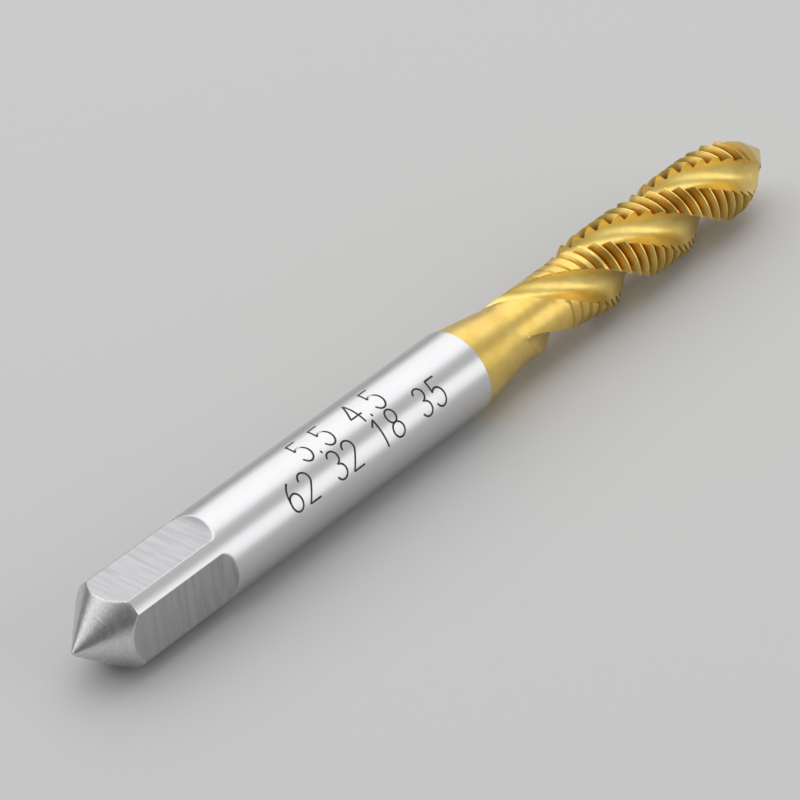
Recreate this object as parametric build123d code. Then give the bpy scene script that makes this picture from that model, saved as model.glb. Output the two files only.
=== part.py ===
"""Spiral flute machine tap, M5 x 0.8 right hand, ground from one piece of high-speed steel.

Every feature is built upright about the Z axis, with the drive end at z = 0.
The finished tap is then laid on its side along X, shank touching z = 0.
All lengths are in millimetres and all angles in degrees.
"""
import math
import os

from build123d import *

os.makedirs("parts", exist_ok=True)

# Overall length, centre point to centre point
OVERALL_LENGTH = 62.0

# Shank and driving square
SHANK_DIAMETER = 5.5
SHANK_LENGTH = 32.1
SHANK_EDGE_BREAK = 0.05
SQUARE_ACROSS_FLATS = 4.5
SQUARE_LENGTH = 7.2
SQUARE_RUNOUT_RADIUS = 0.8

# Male centre on the drive end
DRIVE_CENTRE_ANGLE = 81.0
DRIVE_CENTRE_DIAMETER = 5.3
DRIVE_BEVEL_LENGTH = 0.15
DRIVE_NIB_DIAMETER = 0.3

# Neck behind the thread
NECK_DIAMETER = 4.2
SHOULDER_LENGTH = 4.1
NECK_LENGTH = 5.8

# Thread
THREAD_MAJOR_DIAMETER = 5.0
THREAD_ROOT_DIAMETER = 4.0
THREAD_PITCH = 0.8
THREAD_ANGLE = 60.0
THREAD_CREST_WIDTH = 0.1
THREAD_BACK_TAPER_LENGTH = 2.7
THREAD_START_ANGLE = 160.0

# Lead chamfer and front male centre
CHAMFER_LENGTH = 1.85
CHAMFER_ANGLE = 21.0
FRONT_CENTRE_LENGTH = 2.0
FRONT_NIB_DIAMETER = 0.5

# Flutes
FLUTE_COUNT = 3
FLUTE_LEAD = 22.5
FLUTE_WIDTH_ANGLE = 65.6
FLUTE_CORE_DIAMETER = 2.3
FLUTE_START_ANGLE = -17.75
FLUTE_RUNOUT_LENGTH = 5.6
FLUTE_STATION_STEP = 0.9

# How far the cutters reach past what they cut
SQUARE_CUTTER_REACH = 1.0
FLUTE_CUTTER_LEAD_IN = 1.0
FLUTE_CUTTER_OVERRUN = 0.6
FLUTE_CUTTER_APEX = 4.5
GROOVE_LEAD_IN_TURNS = 1.5
GROOVE_OVERLAP_ANGLE = 26.0
GROOVE_LEAST_ROOT = 0.02

# Radii
shank_radius = SHANK_DIAMETER / 2
neck_radius = NECK_DIAMETER / 2
major_radius = THREAD_MAJOR_DIAMETER / 2
root_radius = THREAD_ROOT_DIAMETER / 2
core_radius = FLUTE_CORE_DIAMETER / 2
drive_nib_radius = DRIVE_NIB_DIAMETER / 2
drive_centre_radius = DRIVE_CENTRE_DIAMETER / 2
front_nib_radius = FRONT_NIB_DIAMETER / 2
front_centre_radius = major_radius - CHAMFER_LENGTH * math.tan(math.radians(CHAMFER_ANGLE))

# Stations along the axis
drive_centre_end = (drive_centre_radius - drive_nib_radius) / math.tan(math.radians(DRIVE_CENTRE_ANGLE / 2))
square_start = drive_centre_end + DRIVE_BEVEL_LENGTH
square_end = square_start + SQUARE_LENGTH
neck_start = SHANK_LENGTH + SHOULDER_LENGTH
neck_end = neck_start + NECK_LENGTH
thread_full = neck_end + THREAD_BACK_TAPER_LENGTH
front_centre_start = OVERALL_LENGTH - FRONT_CENTRE_LENGTH
chamfer_start = front_centre_start - CHAMFER_LENGTH
flute_full = neck_start + FLUTE_RUNOUT_LENGTH


def turned_blank():
    """Turned and ground blank: drive centre, shank, shoulder, neck, thread, chamfer, front centre."""
    outline = [
        (0, 0),
        (drive_nib_radius, 0),
        (drive_centre_radius, drive_centre_end),
        (shank_radius, square_start),
        (shank_radius, SHANK_LENGTH - SHANK_EDGE_BREAK),
        (shank_radius - SHANK_EDGE_BREAK, SHANK_LENGTH),
        (neck_radius, neck_start),
        (neck_radius, neck_end),
        (major_radius, thread_full),
        (major_radius, chamfer_start),
        (front_centre_radius, front_centre_start),
        (front_nib_radius, OVERALL_LENGTH),
        (0, OVERALL_LENGTH),
    ]
    with BuildPart() as blank:
        with BuildSketch(Plane.XZ):
            with BuildLine():
                Polyline(*outline, close=True)
            make_face()
        revolve(axis=Axis.Z)
    return blank.part


def square_cutter():
    """Body that grinds one flat of the driving square, with its rounded run-out."""
    flat = SQUARE_ACROSS_FLATS / 2
    depth = min(shank_radius - flat, SQUARE_RUNOUT_RADIUS)
    reach = math.sqrt(SQUARE_RUNOUT_RADIUS**2 - (SQUARE_RUNOUT_RADIUS - depth) ** 2)
    tangent = square_end - reach
    lip = flat + SQUARE_RUNOUT_RADIUS
    outside = lip + shank_radius
    with BuildPart() as cutter:
        with BuildSketch(Plane.XZ):
            with BuildLine():
                Line((flat, -SQUARE_CUTTER_REACH), (flat, tangent))
                RadiusArc((flat, tangent), (lip, tangent + SQUARE_RUNOUT_RADIUS), -SQUARE_RUNOUT_RADIUS)
                Polyline(
                    (lip, tangent + SQUARE_RUNOUT_RADIUS),
                    (outside, tangent + SQUARE_RUNOUT_RADIUS),
                    (outside, -SQUARE_CUTTER_REACH),
                    (flat, -SQUARE_CUTTER_REACH),
                )
            make_face()
        extrude(amount=shank_radius + SQUARE_CUTTER_REACH, both=True)
    return cutter.part


def flute_section(height):
    """Flute outline across the axis at one height, turned by the lead and lifted in the run-out."""
    short = max(0.0, flute_full - height)
    depth_at_neck = neck_radius - core_radius
    wheel_radius = (FLUTE_RUNOUT_LENGTH**2 + depth_at_neck**2) / (2 * depth_at_neck)
    lift = wheel_radius - math.sqrt(wheel_radius**2 - short**2)
    # Height above the core as a share of the flute depth, and place across the flute's width.
    # The first edge is the hooked cutting face and the last is the heel.
    shape = [
        (1.28, 0.03),
        (1.00, 0.00),
        (0.78, -0.03),
        (0.50, -0.035),
        (0.22, 0.04),
        (0.04, 0.22),
        (0.00, 0.45),
        (0.10, 0.66),
        (0.34, 0.83),
        (0.66, 0.93),
        (1.00, 1.00),
        (1.28, 1.05),
    ]
    points = []
    for level, place in shape:
        radius = core_radius + (major_radius - core_radius) * level
        angle = math.radians((place - 0.5) * FLUTE_WIDTH_ANGLE)
        points.append((radius * math.cos(angle) + lift, radius * math.sin(angle)))
    with BuildSketch() as section:
        with BuildLine():
            Spline(*points)
            Polyline(points[-1], (FLUTE_CUTTER_APEX + lift, 0), points[0])
        make_face()
    turn = height * 360 / FLUTE_LEAD + FLUTE_START_ANGLE
    return Pos(0, 0, height) * Rot(0, 0, turn) * section.sketch


def flute_cutter():
    """Body of one right-hand flute, from its run-out in the neck to beyond the front centre."""
    start = neck_start - FLUTE_CUTTER_LEAD_IN
    stop = OVERALL_LENGTH + FLUTE_CUTTER_OVERRUN
    steps = math.ceil((stop - start) / FLUTE_STATION_STEP)
    sections = []
    for index in range(steps + 1):
        sections.append(flute_section(start + (stop - start) * index / steps).face())
    return loft(sections)


def groove_cutter():
    """Short length of the thread groove, long enough to cross one land, centred on the X axis."""
    flank = math.tan(math.radians(THREAD_ANGLE / 2))
    over = THREAD_CREST_WIDTH / 4 / flank
    mouth_half = THREAD_PITCH / 2 - THREAD_CREST_WIDTH / 4
    depth = major_radius + over - root_radius
    root_half = max(mouth_half - depth * flank, GROOVE_LEAST_ROOT)
    land_angle = 360 / FLUTE_COUNT - FLUTE_WIDTH_ANGLE
    sweep_angle = land_angle + GROOVE_OVERLAP_ANGLE
    rise = THREAD_PITCH * sweep_angle / 360
    path = Helix(pitch=THREAD_PITCH, height=rise, radius=root_radius)
    across = Plane(origin=(root_radius, 0, 0), x_dir=(1, 0, 0), z_dir=path.tangent_at(0))
    with BuildSketch(across) as section:
        with BuildLine():
            Polyline(
                (0, -root_half),
                (depth, -mouth_half),
                (depth, mouth_half),
                (0, root_half),
                close=True,
            )
        make_face()
    groove = sweep(section.sketch, path=path, is_frenet=True)
    return Rot(0, 0, -sweep_angle / 2) * Pos(0, 0, -rise / 2) * groove


def thread_cutters():
    """Every length of one continuous right-hand groove, placed where it crosses a land."""
    groove = groove_cutter()
    first = neck_end - GROOVE_LEAD_IN_TURNS * THREAD_PITCH
    last = front_centre_start
    cutters = []
    for land in range(FLUTE_COUNT):
        land_angle = FLUTE_START_ANGLE + 180 / FLUTE_COUNT + 360 / FLUTE_COUNT * land
        shift = (land_angle - THREAD_START_ANGLE) / 360
        growth = 1 - THREAD_PITCH / FLUTE_LEAD
        turn = math.ceil(first * growth / THREAD_PITCH - shift)
        height = THREAD_PITCH * (shift + turn) / growth
        while height <= last:
            angle = height * 360 / FLUTE_LEAD + land_angle
            cutters.append(Pos(0, 0, height) * Rot(0, 0, angle) * groove)
            height += THREAD_PITCH / growth
    return cutters


def tap():
    """The finished tap, upright."""
    flute = flute_cutter()
    flat = square_cutter()
    body = turned_blank()
    for index in range(FLUTE_COUNT):
        body = body - Rot(0, 0, 360 / FLUTE_COUNT * index) * flute
    for index in range(4):
        body = body - Rot(0, 0, 90 * index) * flat
    return body - thread_cutters()


lying = Plane(origin=(-OVERALL_LENGTH / 2, 0, shank_radius), x_dir=(0, 0, 1), z_dir=(1, 0, 0))
laid_tap = tap().moved(lying.location)
laid_tap.label = "tap"
export_step(laid_tap, "parts/tap.step")
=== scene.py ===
"""Looks of a spiral flute thread tap lying on a pale floor.

The tap is one mesh, drawn in tap coordinates: x in millimetres from the drive end,
and an angle that is 0 on top of the tap and grows towards -Y, seen along +X.
"""

import math

import bmesh
import bpy
import numpy as np
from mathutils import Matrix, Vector

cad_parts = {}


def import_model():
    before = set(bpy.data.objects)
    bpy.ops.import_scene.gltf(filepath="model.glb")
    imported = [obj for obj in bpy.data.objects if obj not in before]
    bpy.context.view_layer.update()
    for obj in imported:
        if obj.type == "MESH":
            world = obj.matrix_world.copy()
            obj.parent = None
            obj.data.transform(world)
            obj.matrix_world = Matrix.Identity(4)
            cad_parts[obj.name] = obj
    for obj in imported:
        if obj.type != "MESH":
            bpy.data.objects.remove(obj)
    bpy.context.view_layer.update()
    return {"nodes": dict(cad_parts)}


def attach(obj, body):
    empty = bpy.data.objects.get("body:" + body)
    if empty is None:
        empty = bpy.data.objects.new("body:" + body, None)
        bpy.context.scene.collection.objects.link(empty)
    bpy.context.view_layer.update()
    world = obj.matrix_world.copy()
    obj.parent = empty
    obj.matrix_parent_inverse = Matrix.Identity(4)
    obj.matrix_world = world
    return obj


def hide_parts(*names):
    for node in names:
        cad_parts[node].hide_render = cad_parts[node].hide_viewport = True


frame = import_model()

MM = 0.001

# In metres: points that stand closer than this are made one
MERGE_DISTANCE = 2e-7

# Edges that turn by more than this stay sharp
SHARP_ANGLE = math.radians(32)

# Sizes in millimetres and angles in degrees, the same as in the part's source
LENGTH = 62.0

# Drive centre, driving square and shank
SHANK_R = 2.75
DRIVE_NIB_R = 0.15
DRIVE_CENTRE_R = 2.65
DRIVE_CENTRE_ANGLE = 81.0
DRIVE_CENTRE_END = (DRIVE_CENTRE_R - DRIVE_NIB_R) / math.tan(math.radians(DRIVE_CENTRE_ANGLE / 2))
DRIVE_BEVEL_LENGTH = 0.15
SQUARE_START = DRIVE_CENTRE_END + DRIVE_BEVEL_LENGTH
SQUARE_LENGTH = 7.2
SQUARE_END = SQUARE_START + SQUARE_LENGTH
FLAT_LEVEL = 2.25
RUNOUT_R = 0.8
RUNOUT_LENGTH = math.sqrt(RUNOUT_R**2 - (RUNOUT_R - SHANK_R + FLAT_LEVEL) ** 2)
COATING_START = 32.1
SHANK_EDGE_BREAK = 0.05

# Rounded nib of the drive centre: places along the tap, with their radii
DRIVE_NIB = [(0, 0.1), (0.02, 0.145), (0.07, 0.2)]

# Shoulder, neck, thread, chamfer and front centre
SHOULDER_LENGTH = 4.1
NECK_R = 2.1
NECK_LENGTH = 5.8
NECK_START = COATING_START + SHOULDER_LENGTH
NECK_END = NECK_START + NECK_LENGTH
BACK_TAPER_LENGTH = 2.7
THREAD_FULL = NECK_END + BACK_TAPER_LENGTH
MAJOR_R = 2.5
ROOT_R = 2.0
PITCH = 0.8
THREAD_START_ANGLE = 160.0
CREST_HALF = 0.05
THREAD_ANGLE = 60.0
FLANK = math.tan(math.radians(THREAD_ANGLE / 2))
ROOT_HALF = PITCH / 2 - CREST_HALF - (MAJOR_R - ROOT_R) * FLANK
FRONT_CENTRE_LENGTH = 2.0
FRONT_CENTRE_START = LENGTH - FRONT_CENTRE_LENGTH
CHAMFER_LENGTH = 1.85
CHAMFER_ANGLE = 21.0
CHAMFER_START = FRONT_CENTRE_START - CHAMFER_LENGTH
FRONT_CENTRE_R = MAJOR_R - CHAMFER_LENGTH * math.tan(math.radians(CHAMFER_ANGLE))
FRONT_NIB_R = 0.25

# Flutes. The shape gives height above the core as a share of the flute's depth, and place across
# its width, from the cutting edge to the heel.
FLUTES = 3
CORE_R = 1.15
FLUTE_LEAD = 22.5
FLUTE_TURN = 360 / FLUTE_LEAD
FLUTE_START_ANGLE = -17.75
FLUTE_WIDTH_ANGLE = 65.6
FLUTE_RUNOUT = 5.6
FLUTE_FULL = NECK_START + FLUTE_RUNOUT
FLUTE_SHAPE = [
    (1.28, 0.03),
    (1.00, 0.00),
    (0.78, -0.03),
    (0.50, -0.035),
    (0.22, 0.04),
    (0.04, 0.22),
    (0.00, 0.45),
    (0.10, 0.66),
    (0.34, 0.83),
    (0.66, 0.93),
    (1.00, 1.00),
    (1.28, 1.05),
]
WHEEL_R = (FLUTE_RUNOUT**2 + (NECK_R - CORE_R) ** 2) / (2 * (NECK_R - CORE_R))

# Attribute of the mesh that gives each point's depth in the thread groove, from 0 to 1, by which the
# coating's colour is darkened into painted shade
GROOVE_DEPTH = "groove_depth"

# Finishes, in the order of the mesh's material slots
STEEL, FLAT, CONE, COATING, FLUTE = range(5)

# Widths of the square's broken edges: along its sides, at its front and in its run-outs
EDGE_BREAK = 0.022
FRONT_EDGE_BREAK = 0.07
RUNOUT_EDGE_BREAK = 0.20
EDGE_BREAK_END = SQUARE_END + 0.05

# Columns of points round the shank: across a flat, on each side of its edges, and between flats
FLAT_COLUMNS = 17
EDGE_COLUMNS = 3
ROUND_COLUMNS = 13
EDGE_SPAN = math.radians(1.2)
EDGE_STEP = EDGE_SPAN / 4
LEAST_FLAT = math.radians(5)
QUARTER = math.pi / 2


def to_frame(x, r, angle):
    """Tap coordinates, with the angle in radians, as row frame metres."""
    x, r, angle = np.broadcast_arrays(x, r, angle)
    points = np.stack([x - LENGTH / 2, -r * np.sin(angle), SHANK_R + r * np.cos(angle)], axis=-1)
    return points * MM


# ---------------------------------------------------------------- ground shank

def eased_min(a, b, width):
    """The lesser of two surfaces, with the edge between them broken over a small width."""
    near = np.maximum(width - np.abs(a - b), 0)
    return np.minimum(a, b) - near**2 / (4 * width)


def shank_radius(x):
    """Radius of the turned form, before the square is ground."""
    outline = [
        *DRIVE_NIB,
        (DRIVE_CENTRE_END, DRIVE_CENTRE_R),
        (SQUARE_START, SHANK_R),
        (COATING_START - SHANK_EDGE_BREAK, SHANK_R),
        (COATING_START, SHANK_R - SHANK_EDGE_BREAK),
    ]
    return np.interp(x, *zip(*outline))


def flat_level(x):
    """Distance of the square's flats from the axis, with the rounded run-out at their far end."""
    along = np.clip(x - SQUARE_END + RUNOUT_LENGTH, 0, RUNOUT_R)
    return FLAT_LEVEL + RUNOUT_R - np.sqrt(RUNOUT_R**2 - along**2)


def shank_stations():
    """Places of the rings along the shank, closer together where the outline turns."""
    runout = SQUARE_END - RUNOUT_LENGTH
    parts = [
        # Nib and male centre
        [0, 0.02, 0.045, 0.07],
        np.linspace(0.12, 2.3, 22),
        np.linspace(2.34, DRIVE_CENTRE_END - 0.03, 16),
        # Bevel, with the edge at each end of it
        np.linspace(DRIVE_CENTRE_END - 0.015, DRIVE_CENTRE_END + 0.015, 4),
        np.linspace(DRIVE_CENTRE_END + 0.035, SQUARE_START - 0.035, 4),
        np.linspace(SQUARE_START - 0.015, SQUARE_START + 0.015, 4),
        # Square, its rounded run-out and the broken edge beyond
        np.linspace(SQUARE_START + 0.08, runout - 0.05, 14),
        runout + RUNOUT_LENGTH * np.sin(np.linspace(0, QUARTER, 30)),
        SQUARE_END + np.array([0.01, 0.022, 0.036, 0.051, 0.1, 0.2, 0.4]),
        # Shank, to its broken edge at the coating
        np.linspace(SQUARE_END + 1.2, COATING_START - 0.4, 16),
        COATING_START - SHANK_EDGE_BREAK * np.array([2.0, 1.3, 0.8, 0.5]),
    ]
    return np.concatenate(parts)


def flat_half_angle(x):
    """Half the angle that a flat spans, seen from the axis, or 0 where it cuts nothing."""
    if x >= SQUARE_END:
        return 0.0
    return math.acos(min(1.0, flat_level(x) / shank_radius(x)))


def shank_angles(x):
    """Angles of the columns round one ring: close together at the edges of the four flats."""
    half = max(flat_half_angle(x), LEAST_FLAT)
    flat = np.linspace(-half + EDGE_SPAN, half - EDGE_SPAN, FLAT_COLUMNS)
    edge = half + np.arange(-EDGE_COLUMNS, EDGE_COLUMNS + 1) * EDGE_STEP
    strip = np.linspace(half + EDGE_SPAN, QUARTER - half - EDGE_SPAN, ROUND_COLUMNS)
    quarter = np.concatenate([flat, edge, strip, QUARTER - edge[::-1]])
    return np.concatenate([quarter + index * QUARTER for index in range(4)])


def off_flat(angle):
    """Angle from the middle of the nearest flat."""
    return angle - np.round(angle / QUARTER) * QUARTER


def shank_ring(x, angle):
    """Points of one ring: the turned form with the four flats ground away."""
    radius = np.full(len(angle), float(shank_radius(x)))
    if x < EDGE_BREAK_END:
        runout = np.clip((x - SQUARE_END) / RUNOUT_LENGTH + 1, 0, 1)
        width = EDGE_BREAK + (RUNOUT_EDGE_BREAK - EDGE_BREAK) * runout
        if x < SQUARE_START:
            width = FRONT_EDGE_BREAK
        radius = eased_min(radius, flat_level(x) / np.cos(off_flat(angle)), width)
    return to_frame(x, radius, angle)


def shank_finishes(x, angle):
    """Finish of the faces that start at one ring: flat, turned cone or ground round."""
    middle = (angle + np.roll(angle, -1)) / 2
    # The last face closes the ring past a full turn, where the mean of its two angles is wrong
    middle[-1] = angle[-1] + EDGE_STEP / 2
    flat = np.abs(off_flat(middle)) < flat_half_angle(x)
    round_form = CONE if x < SQUARE_START else STEEL
    return np.where(flat, FLAT, round_form)


# ---------------------------------------------------------------- coated end

FLUTE_CURVE_POINTS = 700


def blank_radius(x):
    """Radius of the blank under the thread and flutes."""
    outline = [
        (COATING_START, SHANK_R - SHANK_EDGE_BREAK),
        (NECK_START, NECK_R),
        (NECK_END, NECK_R),
        (THREAD_FULL, MAJOR_R),
        (CHAMFER_START, MAJOR_R),
        (FRONT_CENTRE_START, FRONT_CENTRE_R),
        (LENGTH, FRONT_NIB_R),
    ]
    return np.interp(x, *zip(*outline))


def flute_curve():
    """The flute's outline across the axis, as two arrays: out from the axis, and across.

    It is a natural cubic spline through the points of the flute's shape.
    """
    level, place = np.array(FLUTE_SHAPE).T
    radius = CORE_R + (MAJOR_R - CORE_R) * level
    angle = np.radians((place - 0.5) * FLUTE_WIDTH_ANGLE)
    knots = np.stack([radius * np.cos(angle), radius * np.sin(angle)], axis=1)
    steps = np.linalg.norm(np.diff(knots, axis=0), axis=1)
    at = np.concatenate([[0], np.cumsum(steps)])
    count = len(at)
    system = np.zeros((count, count))
    right = np.zeros((count, 2))
    system[0, 0] = system[-1, -1] = 1
    for i in range(1, count - 1):
        system[i, i - 1 : i + 2] = [steps[i - 1], 2 * (steps[i - 1] + steps[i]), steps[i]]
        right[i] = 6 * ((knots[i + 1] - knots[i]) / steps[i] - (knots[i] - knots[i - 1]) / steps[i - 1])
    bend = np.linalg.solve(system, right)
    fine = np.linspace(0, at[-1], FLUTE_CURVE_POINTS)
    seg = np.clip(np.searchsorted(at, fine) - 1, 0, count - 2)
    span = steps[seg][:, None]
    a = (at[seg + 1] - fine)[:, None]
    b = (fine - at[seg])[:, None]
    curve = bend[seg] * a**3 / (6 * span) + bend[seg + 1] * b**3 / (6 * span)
    curve += (knots[seg] / span - bend[seg] * span / 6) * a
    curve += (knots[seg + 1] / span - bend[seg + 1] * span / 6) * b
    return curve[:, 0], curve[:, 1]


FLUTE_OUT, FLUTE_ACROSS = flute_curve()


def runout_lift(x):
    """How far the grinding wheel has come out of the work at x."""
    short = np.clip(FLUTE_FULL - x, 0, WHEEL_R)
    return WHEEL_R - np.sqrt(WHEEL_R**2 - short**2)


def flute_edges(x, radius):
    """Places along the flute's curve where it meets circles of those radii; NaN where it stays outside."""
    reach = np.hypot(FLUTE_OUT + runout_lift(x)[:, None], FLUTE_ACROSS)
    inside = reach < radius[:, None]
    rows = np.arange(len(x))
    last_place = reach.shape[1] - 1
    first = np.clip(inside.argmax(axis=1), 1, None)
    last = np.clip(last_place - inside[:, ::-1].argmax(axis=1), None, last_place - 1)
    at_first, before = reach[rows, first], reach[rows, first - 1]
    at_last, after = reach[rows, last], reach[rows, last + 1]
    start = first - (radius - at_first) / (before - at_first)
    stop = last + (radius - at_last) / (after - at_last)
    met = inside.any(axis=1)
    return np.where(met, start, np.nan), np.where(met, stop, np.nan)


def curve_point(place, x):
    """Radius and angle in degrees of points on the flute's curve, at a place along it."""
    index = np.arange(len(FLUTE_OUT))
    out = np.interp(place, index, FLUTE_OUT) + runout_lift(x)
    across = np.interp(place, index, FLUTE_ACROSS)
    return np.hypot(out, across), np.degrees(np.arctan2(across, out))


# Rows of points in one turn of the groove: crest, flank, root, flank. Each has a side and
# a share of the way from the crest's edge to the root's edge.
ROW_SIDE = np.array([-1, -1, -1, -1, -1, -1, 0, 1, 1, 1, 1, 1])
ROW_SHARE = np.array([0, 0, 0.25, 0.5, 0.75, 1, 1, 1, 0.75, 0.5, 0.25, 0])
ROWS_PER_TURN = len(ROW_SIDE)

# Least and greatest distance of the crest's edge from the middle of the groove, in turns
LEAST_FLANK_TURNS = 0.05
MOST_CREST_TURNS = 0.46

# Columns of points across each land and each flute, which turn with the flutes
LAND_COLUMNS = 18
FLUTE_COLUMNS = 26

# Rings between the coating's edge and the first row that follows the thread
SHOULDER_STATIONS = [COATING_START + step for step in (0, 0.15, 0.9, 1.9, 2.9)]
COATED_START = NECK_START - 0.3

# The groove begins in the neck and reaches its depth over this length
THREAD_FADE_START = NECK_END - 1.7
THREAD_FADE_LENGTH = 0.5

# Where a flute is narrower than this each way, in degrees, its columns keep this width
LEAST_HALF = 9.0

# Share of the groove's depth from which a face beside a land counts as flute
FLUTE_LEAST_DEPTH = 0.02

# Turns of thread per turn of the blank, seen along the turning columns
PHASE_GAIN = 1 - PITCH * FLUTE_TURN / 360

# Rounds of the sums in which place and phase, or place and flute edge, follow from each other
PHASE_ROUNDS = 4
EDGE_ROUNDS = 5


def thread_x(turns, local):
    """x of a phase of the thread, in turns, at an angle in degrees from the first flute's centre."""
    return PITCH * ((local + FLUTE_START_ANGLE - THREAD_START_ANGLE) / 360 + turns) / PHASE_GAIN


def row_turns(index, x):
    """Phase of a row of points in turns. Rows follow the edges of the groove as the blank tapers."""
    turn, step = np.divmod(index, ROWS_PER_TURN)
    root = ROOT_HALF / PITCH
    crest = (ROOT_HALF + (blank_radius(x) - ROOT_R) * FLANK) / PITCH
    crest = np.clip(crest, root + LEAST_FLANK_TURNS, MOST_CREST_TURNS)
    offset = ROW_SIDE[step] * (crest + (root - crest) * ROW_SHARE[step])
    return turn + np.where(step == 0, -0.5, offset)


def settle(index, local):
    """x and phase of points of a row, each of which follows from the other."""
    x = thread_x(index / ROWS_PER_TURN, local)
    for _ in range(PHASE_ROUNDS):
        turns = row_turns(index, np.clip(x, COATED_START, LENGTH))
        x = thread_x(turns, local)
    return np.clip(x, COATED_START, LENGTH), turns


def thread_radius(turns, x):
    """Radius of the threaded blank at a phase of the groove."""
    blank = blank_radius(x)
    off = np.abs(turns - np.round(turns)) * PITCH
    groove = ROOT_R + np.clip(off - ROOT_HALF, 0, None) / FLANK
    fade = np.clip((x - THREAD_FADE_START) / THREAD_FADE_LENGTH, 0, 1)
    return blank - np.clip(blank - groove, 0, None) * fade


def flute_end(index, centre, side):
    """Place along the flute's curve, and local angle, where each row meets one edge of a flute."""
    local = np.full(len(index), centre + (side - 0.5) * FLUTE_WIDTH_ANGLE)
    for _ in range(EDGE_ROUNDS):
        x, turns = settle(index, local)
        place = flute_edges(x, thread_radius(turns, x))[side]
        local = np.where(np.isnan(place), centre, centre + curve_point(np.nan_to_num(place), x)[1])
    return np.nan_to_num(place), local


def columns_on_curve(rows, centre, place):
    """x, radius and local angle of points at places along the flute's curve."""
    local = np.full(place.shape, float(centre))
    for _ in range(EDGE_ROUNDS):
        x, _ = settle(rows, local)
        radius, angle = curve_point(place, x)
        local = centre + angle
    return x, radius, local


def columns_at_least_width(rows, centre, share, used):
    """x, radius and local angle of columns that keep the least width, for the rows in use."""
    local = np.broadcast_to(centre + (2 * share - 1) * LEAST_HALF, rows.shape)
    x, turns = settle(rows, local)
    reach = np.zeros(rows.shape)
    for row in np.nonzero(used)[0]:
        far, angle = curve_point(np.arange(FLUTE_CURVE_POINTS), x[row].mean())
        reach[row] = np.interp(local[row] - centre, angle, far)
    return x, np.minimum(reach, thread_radius(turns, x)), local


def flute_columns(index, centre):
    """x, radius and local angle of the columns of each row that lie in one flute."""
    start, low = flute_end(index, centre, 0)
    stop, high = flute_end(index, centre, 1)
    wide = np.minimum(centre - low, high - centre) > LEAST_HALF
    share = np.linspace(0, 1, FLUTE_COLUMNS + 1)
    place = start[:, None] * (1 - share) + stop[:, None] * share
    rows = np.broadcast_to(index[:, None], place.shape)
    on_curve = columns_on_curve(rows, centre, place)
    narrow = columns_at_least_width(rows, centre, share, ~wide)
    return tuple(np.where(wide[:, None], a, b) for a, b in zip(on_curve, narrow))


def coated_grid():
    """x, radius and local angle of every row and column of points, from the neck to the point.

    Rows follow the thread, so some begin before the neck and some end past the point. Those
    points are held at the two ends, where the mesh makes them one.
    """
    first = math.floor(ROWS_PER_TURN * COATED_START * PHASE_GAIN / PITCH) - ROWS_PER_TURN
    last = math.ceil(ROWS_PER_TURN * LENGTH * PHASE_GAIN / PITCH) + 3 * ROWS_PER_TURN
    index = np.arange(first, last + 1)
    parts = []
    for flute in range(FLUTES):
        centre = flute * 360 / FLUTES
        valley = flute_columns(index, centre)
        heel = valley[2][:, -1:]
        next_edge = flute_columns(index, centre + 360 / FLUTES)[2][:, :1]
        share = np.linspace(0, 1, LAND_COLUMNS + 1)[1:-1]
        local = heel * (1 - share) + next_edge * share
        x, turns = settle(np.broadcast_to(index[:, None], local.shape), local)
        parts.append(valley)
        parts.append((x, thread_radius(turns, x), local))
    return tuple(np.concatenate(columns, axis=1) for columns in zip(*parts))


class Shell:
    """Points and faces of one closed mesh, gathered ring by ring."""

    def __init__(self):
        self.points = []
        self.depths = []
        self.faces = []
        self.finishes = []

    def add_points(self, points, depths=None):
        """Points with their depths in the groove, 0 where none are given. Returns their numbers."""
        start = len(self.points)
        self.points.extend(map(tuple, points))
        self.depths.extend([0.0] * len(points) if depths is None else depths)
        return np.arange(start, len(self.points))

    def add_face(self, corners, finish):
        """A face between points given by their numbers, with its finish."""
        self.faces.append([int(c) for c in corners])
        self.finishes.append(finish)

    def bridge(self, ring, following, finishes):
        """Quads between two rings with the same number of points."""
        count = len(ring)
        for i in range(count):
            j = (i + 1) % count
            self.add_face((ring[i], ring[j], following[j], following[i]), finishes[i])

    def fan(self, ring, centre, finish):
        """Triangles from a ring to one point."""
        for i in range(len(ring)):
            self.add_face((ring[i], ring[(i + 1) % len(ring)], centre), finish)

    def zip(self, ring, angles, following, their_angles, finish):
        """Triangles between two rings whose points stand at different angles."""
        i = j = 0
        turn = 2 * math.pi
        shift = int(np.argmin((their_angles - angles[0]) % turn))
        their_order = np.roll(np.arange(len(following)), -shift)
        theirs = (their_angles[their_order] - angles[0]) % turn
        mine = (angles - angles[0]) % turn
        mine = np.append(mine, turn)
        theirs = np.append(theirs, turn + theirs[0])
        while i < len(ring) or j < len(following):
            a, b = ring[i % len(ring)], following[their_order[j % len(following)]]
            if j >= len(following) or (i < len(ring) and mine[i + 1] <= theirs[j + 1]):
                self.add_face((a, ring[(i + 1) % len(ring)], b), finish)
                i += 1
            else:
                self.add_face((a, following[their_order[(j + 1) % len(following)]], b), finish)
                j += 1

    def mesh(self, name):
        """The mesh, with points that fell together made one."""
        data = bpy.data.meshes.new(name)
        data.from_pydata(self.points, [], self.faces)
        data.polygons.foreach_set("material_index", self.finishes)
        data.polygons.foreach_set("use_smooth", [True] * len(self.faces))
        data.attributes.new(GROOVE_DEPTH, "FLOAT", "POINT").data.foreach_set("value", self.depths)
        work = bmesh.new()
        work.from_mesh(data)
        bmesh.ops.remove_doubles(work, verts=work.verts, dist=MERGE_DISTANCE)
        bmesh.ops.dissolve_degenerate(work, dist=MERGE_DISTANCE, edges=work.edges)
        bmesh.ops.recalc_face_normals(work, faces=work.faces)
        work.to_mesh(data)
        work.free()
        data.set_sharp_from_angle(angle=SHARP_ANGLE)
        return data


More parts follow.
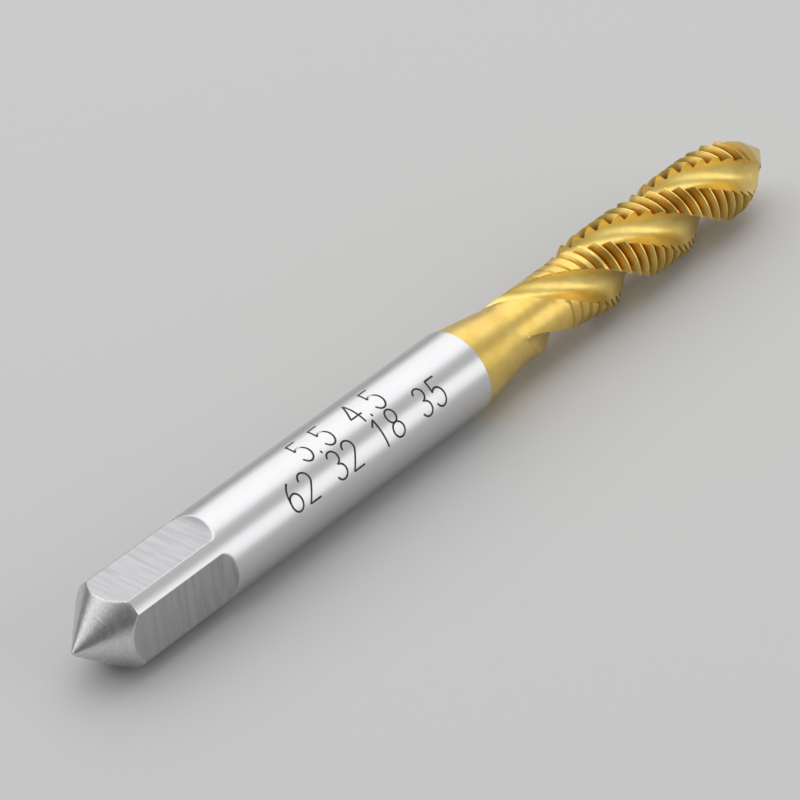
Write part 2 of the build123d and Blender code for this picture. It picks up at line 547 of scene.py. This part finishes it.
def drive_end(shell):
    """The drive end, square and shank. Returns the last ring and its angles."""
    tip = shell.add_points(to_frame(0.0, 0.0, np.zeros(1)))[0]
    ring = None
    for x in shank_stations():
        angle = shank_angles(x)
        following = shell.add_points(shank_ring(x, angle))
        if ring is None:
            shell.fan(following, tip, CONE)
        else:
            shell.bridge(ring, following, shank_finishes(last_x, last_angle))
        ring, last_x, last_angle = following, x, angle
    return ring, last_angle


def coated_end(shell, ring, ring_angle):
    """The shoulder, neck, flutes, thread and point, joined to the shank's last ring."""
    x, radius, local = coated_grid()
    angle = np.radians(x * FLUTE_TURN + FLUTE_START_ANGLE + local)
    rows, columns = x.shape
    on_land = np.arange(columns) % (FLUTE_COLUMNS + LAND_COLUMNS) > FLUTE_COLUMNS
    depth = np.clip((blank_radius(x) - radius) / (MAJOR_R - ROOT_R), 0, 1)
    in_flute = (depth > FLUTE_LEAST_DEPTH) & ~on_land
    # Only the lands keep their depth, which paints shade into their grooves
    depth = np.where(on_land, depth, 0.0)
    for station in SHOULDER_STATIONS:
        following = shell.add_points(to_frame(station, blank_radius(station), angle[0]))
        if station == SHOULDER_STATIONS[0]:
            shell.zip(ring, ring_angle, following, angle[0], STEEL)
        else:
            shell.bridge(ring, following, [COATING] * columns)
        ring = following
    grid = shell.add_points(to_frame(x, radius, angle).reshape(-1, 3), depth.ravel())
    grid = grid.reshape(rows, columns)
    shell.bridge(ring, grid[0], [COATING] * columns)
    for row in range(rows - 1):
        for column in range(columns - 1):
            near, far = grid[row], grid[row + 1]
            finish = FLUTE if in_flute[row, column : column + 2].all() else COATING
            shell.add_face((near[column], near[column + 1], far[column + 1], far[column]), finish)
    # The last column of a row meets the first column one turn of the thread further on
    for row in range(rows - ROWS_PER_TURN - 1):
        near, far = grid[row + ROWS_PER_TURN, 0], grid[row + ROWS_PER_TURN + 1, 0]
        shell.add_face((grid[row, -1], near, far, grid[row + 1, -1]), COATING)
    point = shell.add_points(to_frame(LENGTH, 0.0, np.zeros(1)))[0]
    shell.fan(grid[-1], point, COATING)


def make_object(name, data, *materials):
    """A new object of that mesh with those materials."""
    piece = bpy.data.objects.new(name, data)
    bpy.context.scene.collection.objects.link(piece)
    for material in materials:
        data.materials.append(material)
    return piece


# ---------------------------------------------------------------- size marks

# Size of a numeral, distance from one to the next, and width of its strokes
MARK_HEIGHT = 1.8
MARK_WIDTH = 0.86
MARK_ADVANCE = 1.24
MARK_POINT_ADVANCE = MARK_ADVANCE / 2
MARK_STROKE = 0.125

# Greatest and least distance between points along a stroke
MARK_STEP = 0.09
MARK_LEAST_STEP = 1e-4

# How far a stroke stands over the shank's surface, and how deep it goes
MARK_RAISE = 0.0005
MARK_SINK = 0.006

# A stroke's rounded end, from the tip in: how far out and how far across, as shares of half a stroke
MARK_END = [(1.0, 0.35), (0.6, 0.85)]

# Each row's text, the middle of the row along the tap, and its angle on the shank
MARK_ROWS = [("5.5 4.5", 21.6, 10.0), ("62 32 18 35", 22.1, 51.5)]

ARC_STEP = 12
ARC_LEAST_STEPS = 4


def arc(centre, size, start, stop):
    """Points of an arc of an ellipse, in degrees."""
    steps = max(ARC_LEAST_STEPS, round(abs(stop - start) / ARC_STEP))
    turn = np.radians(np.linspace(start, stop, steps + 1))
    return [(centre[0] + size[0] * math.cos(t), centre[1] + size[1] * math.sin(t)) for t in turn]


# Strokes of each numeral in a box 1 wide and 2 high
NUMERALS = {
    "1": [[(0.2, 1.62), (0.58, 2.0), (0.58, 0.0)]],
    "2": [arc((0.5, 1.48), (0.46, 0.52), 165, -38) + [(0.02, 0.0), (0.98, 0.0)]],
    "3": [arc((0.48, 1.52), (0.42, 0.48), 155, -90) + arc((0.48, 0.52), (0.48, 0.52), 90, -155)],
    "4": [[(0.74, 0.0), (0.74, 2.0), (0.0, 0.62), (1.0, 0.62)]],
    "5": [[(0.92, 2.0), (0.16, 2.0), (0.1, 1.12)] + arc((0.46, 0.66), (0.5, 0.66), 125, -150)],
    "6": [arc((1.0, 0.6), (0.98, 1.42), 112, 180) + arc((0.5, 0.6), (0.48, 0.6), 180, -180)],
    "8": [arc((0.5, 1.52), (0.4, 0.48), -90, 270), arc((0.5, 0.52), (0.48, 0.52), 90, 450)],
    ".": [[(0.0, 0.02), (0.0, 0.12)]],
}


def even_points(line):
    """A stroke with more points along it, so that it can bend round the shank."""
    line = np.array(line)
    at = np.concatenate([[0], np.cumsum(np.linalg.norm(np.diff(line, axis=0), axis=1))])
    steps = max(2, math.ceil(at[-1] / MARK_STEP))
    places = np.unique(np.concatenate([at, np.linspace(0, at[-1], steps + 1)]))
    places = places[np.concatenate([[True], np.diff(places) > MARK_LEAST_STEP])]
    return np.stack([np.interp(places, at, line[:, k]) for k in range(2)], axis=1)


def stroke_sides(line):
    """Points along both sides of a stroke, its ends rounded."""
    line = even_points(line)
    along = np.gradient(line, axis=0)
    along /= np.linalg.norm(along, axis=1)[:, None]
    side = np.stack([-along[:, 1], along[:, 0]], axis=1) * MARK_STROKE / 2
    lead, tail = along[0] * MARK_STROKE / 2, along[-1] * MARK_STROKE / 2
    first = [line[0] - lead * out for out, _ in MARK_END]
    last = [line[-1] + tail * out for out, _ in reversed(MARK_END)]
    middle = np.vstack([*first, line, *last])
    first_reach = [side[0] * across for _, across in MARK_END]
    last_reach = [side[-1] * across for _, across in reversed(MARK_END)]
    reach = np.vstack([*first_reach, side, *last_reach])
    return middle + reach, middle - reach


def lay_on_shank(points, x, angle, radius):
    """Flat mark points, in millimetres along and up from a place on the shank, wrapped round it."""
    return to_frame(x + points[:, 0], radius, math.radians(angle) - points[:, 1] / SHANK_R)


def add_stroke(points, faces, line, x, angle):
    """One stroke as a thin closed strip let into the shank's surface."""
    left, right = stroke_sides(line)
    count = len(left)
    first = len(points)
    for radius in (SHANK_R + MARK_RAISE, SHANK_R - MARK_SINK):
        for side in (left, right):
            points.extend(map(tuple, lay_on_shank(side, x, angle, radius)))
    top_left, top_right, low_left, low_right = (first + k * count for k in range(4))
    for i in range(count - 1):
        faces.append((top_left + i, top_left + i + 1, top_right + i + 1, top_right + i))
        faces.append((low_left + i, low_right + i, low_right + i + 1, low_left + i + 1))
        faces.append((top_left + i, low_left + i, low_left + i + 1, top_left + i + 1))
        faces.append((top_right + i, top_right + i + 1, low_right + i + 1, low_right + i))
    faces.append((top_left, top_right, low_right, low_left))
    end = count - 1
    faces.append((top_left + end, low_left + end, low_right + end, top_right + end))


def size_marks():
    """Two rows of plain numbers etched on the shank.

    They are the tap's own shank diameter and square, then its length, shank length and thread
    length in millimetres and the angle of its flutes in degrees.
    """
    points, faces = [], []
    for text, middle, angle in MARK_ROWS:
        widths = [MARK_POINT_ADVANCE if mark == "." else MARK_ADVANCE for mark in text]
        x = middle - sum(widths) / 2
        for mark, width in zip(text, widths):
            for stroke in NUMERALS.get(mark, []):
                line = [(u * MARK_WIDTH, (v - 1) * MARK_HEIGHT / 2) for u, v in stroke]
                add_stroke(points, faces, line, x, angle)
            x += width
    data = bpy.data.meshes.new("size_marks")
    data.from_pydata(points, [], faces)
    return data


# ---------------------------------------------------------------- materials

# Sockets of the Mix node that only numbers tell apart
MIX_COLOUR_A = 6
MIX_COLOUR_B = 7
MIX_COLOUR_RESULT = 2

# Colours as linear red, green and blue
STEEL_COLOUR = (0.61, 0.61, 0.62)
FLAT_DARK = (0.44, 0.44, 0.45)
FLAT_PALE = (0.53, 0.53, 0.54)
CONE_DARK = (0.56, 0.56, 0.57)
CONE_PALE = (0.80, 0.80, 0.81)
GOLD_DEEP = (0.69, 0.46, 0.095)
GOLD_PALE = (0.78, 0.57, 0.155)
# The same coating in the flutes, with a paler gold that is a painted highlight
FLUTE_GOLD_HIGHLIGHT_DEEP = (0.80, 0.57, 0.14)
FLUTE_GOLD_HIGHLIGHT_PALE = (0.90, 0.70, 0.22)
# Painted shade at the bottom of the thread's grooves
GROOVE_PAINTED_SHADE = (0.36, 0.14, 0.012)
OXIDE_DARK = (0.02, 0.02, 0.022)
OXIDE_PALE = (0.075, 0.075, 0.08)
FLOOR_COLOUR = (0.56, 0.56, 0.555)

# The coating's gloss, as roughness, and how far its grit varies it each way
GOLD_ROUGHNESS = 0.35
FLUTE_ROUGHNESS = 0.39
GRIT_ROUGHNESS = 0.05


class Nodes:
    """A small helper that builds one material's node tree."""

    def __init__(self, name):
        self.material = bpy.data.materials.new(name)
        self.material.use_nodes = True
        self.tree = self.material.node_tree
        self.tree.nodes.clear()
        self.shader = self.add("ShaderNodeBsdfPrincipled")
        out = self.add("ShaderNodeOutputMaterial")
        self.link(self.shader.outputs["BSDF"], out.inputs["Surface"])
        self.place = self.add("ShaderNodeTexCoord").outputs["Object"]

    def add(self, kind, **settings):
        """A new node with those settings."""
        node = self.tree.nodes.new(kind)
        for key, value in settings.items():
            setattr(node, key, value)
        return node

    def link(self, source, target):
        """A link from one socket to another."""
        self.tree.links.new(source, target)

    def noise(self, scale, detail=2.0, roughness=0.5, distortion=0.0):
        """Noise with that many waves per millimetre along each axis of the object."""
        mapping = self.add("ShaderNodeMapping")
        mapping.inputs["Scale"].default_value = [value / MM for value in scale]
        self.link(self.place, mapping.inputs["Vector"])
        node = self.add("ShaderNodeTexNoise")
        node.inputs["Scale"].default_value = 1.0
        node.inputs["Detail"].default_value = detail
        node.inputs["Roughness"].default_value = roughness
        node.inputs["Distortion"].default_value = distortion
        self.link(mapping.outputs["Vector"], node.inputs["Vector"])
        return node.outputs["Fac"]

    def ramp(self, value, *stops):
        """A colour ramp with stops of (place, colour or grey level)."""
        node = self.add("ShaderNodeValToRGB")
        elements = node.color_ramp.elements
        while len(elements) < len(stops):
            elements.new(0.5)
        for element, (place, colour) in zip(elements, stops):
            element.position = place
            level = colour if isinstance(colour, tuple) else (colour, colour, colour)
            element.color = (*level, 1.0)
        self.link(value, node.inputs["Fac"])
        return node.outputs["Color"]

    def blend(self, share, colour, other):
        """A colour that turns into another as the share grows from 0 to 1."""
        node = self.add("ShaderNodeMix", data_type="RGBA")
        self.link(share, node.inputs["Factor"])
        self.link(colour, node.inputs[MIX_COLOUR_A])
        node.inputs[MIX_COLOUR_B].default_value = (*other, 1.0)
        return node.outputs[MIX_COLOUR_RESULT]

    def bump(self, height, distance, normal=None):
        """Bump of that height in millimetres, over an earlier bump if given."""
        node = self.add("ShaderNodeBump")
        node.inputs["Strength"].default_value = 1.0
        node.inputs["Distance"].default_value = distance * MM
        self.link(height, node.inputs["Height"])
        if normal:
            self.link(normal, node.inputs["Normal"])
        return node.outputs["Normal"]

    def stretch_gloss(self, amount):
        """Grinding marks run round the tap, so its highlights spread along it, a quarter turn away."""
        around = self.add("ShaderNodeTangent", direction_type="RADIAL", axis="X")
        self.set(Anisotropic=amount, Anisotropic_Rotation=0.25)
        self.drive(Tangent=around.outputs["Tangent"])

    def set(self, **values):
        """Values that are the same all over the surface, on the shader's own sockets."""
        for key, value in values.items():
            self.shader.inputs[key.replace("_", " ")].default_value = value

    def drive(self, **sources):
        """Links from other nodes into the shader's sockets."""
        for key, source in sources.items():
            self.link(source, self.shader.inputs[key.replace("_", " ")])


def ground_steel():
    """Centreless-ground shank: fine rings round the axis, and a faint mottle in the gloss."""
    nodes = Nodes("ground_steel")
    rings = nodes.noise((5.0, 0.25, 0.25), roughness=0.6)
    mottle = nodes.noise((0.9, 1.4, 1.4))
    normal = nodes.bump(rings, 0.0026)
    nodes.set(Metallic=1.0, Base_Color=(*STEEL_COLOUR, 1.0))
    nodes.drive(Normal=normal, Roughness=nodes.ramp(mottle, (0.0, 0.275), (1.0, 0.335)))
    return nodes.material


def ground_flat():
    """Flats of the square: coarse grinding marks across the tap, a few of them deep."""
    nodes = Nodes("ground_flat")
    fine = nodes.noise((16.0, 0.5, 0.5), detail=4.0, roughness=0.65)
    deep = nodes.noise((3.2, 0.22, 0.22), detail=3.0, roughness=0.7, distortion=0.3)
    lines = nodes.ramp(deep, (0.30, 0.0), (0.42, 1.0), (0.60, 0.9), (0.72, 0.25))
    normal = nodes.bump(lines, 0.004, normal=nodes.bump(fine, 0.003))
    nodes.set(Metallic=1.0)
    nodes.stretch_gloss(0.8)
    nodes.drive(
        Normal=normal,
        Base_Color=nodes.ramp(deep, (0.3, FLAT_DARK), (0.6, FLAT_PALE)),
        Roughness=nodes.ramp(fine, (0.3, 0.42), (0.7, 0.52)),
    )
    return nodes.material


def turned_cone():
    """Male centre: rings of a turned and ground cone, rough enough to break up its highlight."""
    nodes = Nodes("turned_cone")
    rings = nodes.noise((7.0, 0.6, 0.6), roughness=0.7)
    grit = nodes.noise((9.0, 7.0, 7.0))
    normal = nodes.bump(grit, 0.004, normal=nodes.bump(rings, 0.012))
    nodes.set(Metallic=1.0)
    nodes.stretch_gloss(0.6)
    nodes.drive(
        Normal=normal,
        Base_Color=nodes.ramp(grit, (0.2, CONE_DARK), (0.8, CONE_PALE)),
        Roughness=nodes.ramp(rings, (0.0, 0.28), (1.0, 0.42)),
    )
    return nodes.material


def nitride_coating(name, roughness, deep, pale):
    """Gold titanium nitride: satin, with fine grit, and with painted shade that makes it darker and
    browner deep in the thread's grooves.
    """
    nodes = Nodes(name)
    grit = nodes.noise((9.0, 9.0, 9.0), roughness=0.6)
    tone = nodes.noise((0.7, 0.9, 0.9))
    groove = nodes.add("ShaderNodeAttribute", attribute_name=GROOVE_DEPTH).outputs["Fac"]
    # Painted shade: the gold turns towards dark brown as the groove deepens
    colour = nodes.blend(
        nodes.ramp(groove, (0.15, 0.0), (0.8, 1.0)),
        nodes.ramp(tone, (0.3, deep), (0.7, pale)),
        GROOVE_PAINTED_SHADE,
    )
    nodes.set(Metallic=1.0, Coat_Weight=0.35, Coat_Roughness=0.3, Coat_IOR=1.5)
    nodes.drive(
        Normal=nodes.bump(grit, 0.002),
        Base_Color=colour,
        Roughness=nodes.ramp(grit, (0.3, roughness - GRIT_ROUGHNESS), (0.7, roughness + GRIT_ROUGHNESS)),
    )
    return nodes.material


def etched_mark():
    """Dark oxide of an etched mark, uneven along its strokes."""
    nodes = Nodes("etched_mark")
    wear = nodes.noise((3.0, 3.0, 3.0), detail=3.0)
    nodes.set(Metallic=0.6)
    nodes.drive(
        Base_Color=nodes.ramp(wear, (0.35, OXIDE_DARK), (0.75, OXIDE_PALE)),
        Roughness=nodes.ramp(wear, (0.3, 0.42), (0.7, 0.6)),
    )
    return nodes.material


# ---------------------------------------------------------------- object

shell = Shell()
shank_end, shank_end_angle = drive_end(shell)
coated_end(shell, shank_end, shank_end_angle)

# In the order of STEEL, FLAT, CONE, COATING, FLUTE
finishes = (
    ground_steel(),
    ground_flat(),
    turned_cone(),
    nitride_coating("nitride_coating", GOLD_ROUGHNESS, GOLD_DEEP, GOLD_PALE),
    # Same coating, its paler gold in the flutes a painted highlight
    nitride_coating("nitride_in_flutes_painted_highlight", FLUTE_ROUGHNESS, FLUTE_GOLD_HIGHLIGHT_DEEP, FLUTE_GOLD_HIGHLIGHT_PALE),
)
tap = make_object("ground_tap", shell.mesh("ground_tap"), *finishes)
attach(tap, "root")
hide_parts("tap")

marks = make_object("size_marks", size_marks(), etched_mark())
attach(marks, "root")

# The solid that the mesh stands for is hidden, and has the steel's finish all the same
solid_slots = frame["nodes"]["tap"].data.materials
solid_slots.clear()
solid_slots.append(finishes[STEEL])


# ---------------------------------------------------------------- stage

FLOOR_HALF = 2.0

# Camera fitted to the photograph: place in metres, turn in degrees and focal length in millimetres
CAMERA_PLACE = (-0.133517, -0.126349, 0.123619)
CAMERA_TURN = (56.28978, 5.52710, -49.42588)
CAMERA_LENS = 169.378
CAMERA_NEAREST = 0.01

# The room is pale in this direction and dark at right angles to it and beyond
ROOM_DIRECTION = (0.45, 0.10, 0.89)
ROOM_DARK = (0.09, 0.09, 0.095)
ROOM_PALE = (0.74, 0.74, 0.74)


def floor():
    """Plain pale floor with a faint grain."""
    nodes = Nodes("pale_floor")
    grain = nodes.noise((1.2, 1.2, 1.2))
    nodes.set(Base_Color=(*FLOOR_COLOUR, 1.0), Roughness=0.85)
    nodes.drive(Normal=nodes.bump(grain, 0.004))
    data = bpy.data.meshes.new("floor")
    half = FLOOR_HALF
    corners = [(-half, -half, 0), (half, -half, 0), (half, half, 0), (-half, half, 0)]
    data.from_pydata(corners, [], [(0, 1, 2, 3)])
    make_object("floor", data, nodes.material)


def area_lamp(name, place, aim_x, size, power):
    """A soft rectangular lamp that faces the tap's axis at aim_x. Metres and watts."""
    lamp = bpy.data.lights.new(name, "AREA")
    lamp.shape = "RECTANGLE"
    lamp.size, lamp.size_y = size
    lamp.energy = power
    holder = bpy.data.objects.new(name, lamp)
    holder.location = place
    aim = Vector((aim_x, 0.0, SHANK_R * MM)) - Vector(place)
    holder.rotation_euler = aim.to_track_quat("-Z", "Y").to_euler()
    bpy.context.scene.collection.objects.link(holder)


def camera():
    """Camera at the photograph's viewing angle."""
    lens = bpy.data.cameras.new("camera")
    lens.lens = CAMERA_LENS
    lens.sensor_width = 36.0
    lens.clip_start = CAMERA_NEAREST
    holder = bpy.data.objects.new("camera", lens)
    holder.location = CAMERA_PLACE
    holder.rotation_euler = [math.radians(value) for value in CAMERA_TURN]
    bpy.context.scene.collection.objects.link(holder)
    bpy.context.scene.camera = holder


def world():
    """Soft grey room, lighter overhead and towards the point of the tap."""
    space = bpy.data.worlds.new("room")
    bpy.context.scene.world = space
    space.use_nodes = True
    tree = space.node_tree
    back = tree.nodes["Background"]
    ramp = tree.nodes.new("ShaderNodeValToRGB")
    lean = tree.nodes.new("ShaderNodeVectorMath")
    lean.operation = "DOT_PRODUCT"
    lean.inputs[1].default_value = ROOM_DIRECTION
    where = tree.nodes.new("ShaderNodeTexCoord")
    tree.links.new(where.outputs["Generated"], lean.inputs[0])
    tree.links.new(lean.outputs["Value"], ramp.inputs["Fac"])
    tree.links.new(ramp.outputs["Color"], back.inputs["Color"])
    ramp.color_ramp.elements[0].color = (*ROOM_DARK, 1.0)
    ramp.color_ramp.elements[1].color = (*ROOM_PALE, 1.0)


floor()
camera()
world()
area_lamp("overhead", place=(0.19, 0.169, 0.3625), aim_x=0.19, size=(0.96, 0.67), power=1.82)
area_lamp("front", place=(0.30, -0.403, 0.149), aim_x=0.30, size=(0.70, 0.30), power=0.79)
area_lamp("left", place=(-0.36, 0.19, 0.115), aim_x=0.01, size=(0.26, 0.17), power=0.24)
bpy.context.scene.view_settings.view_transform = "Standard"
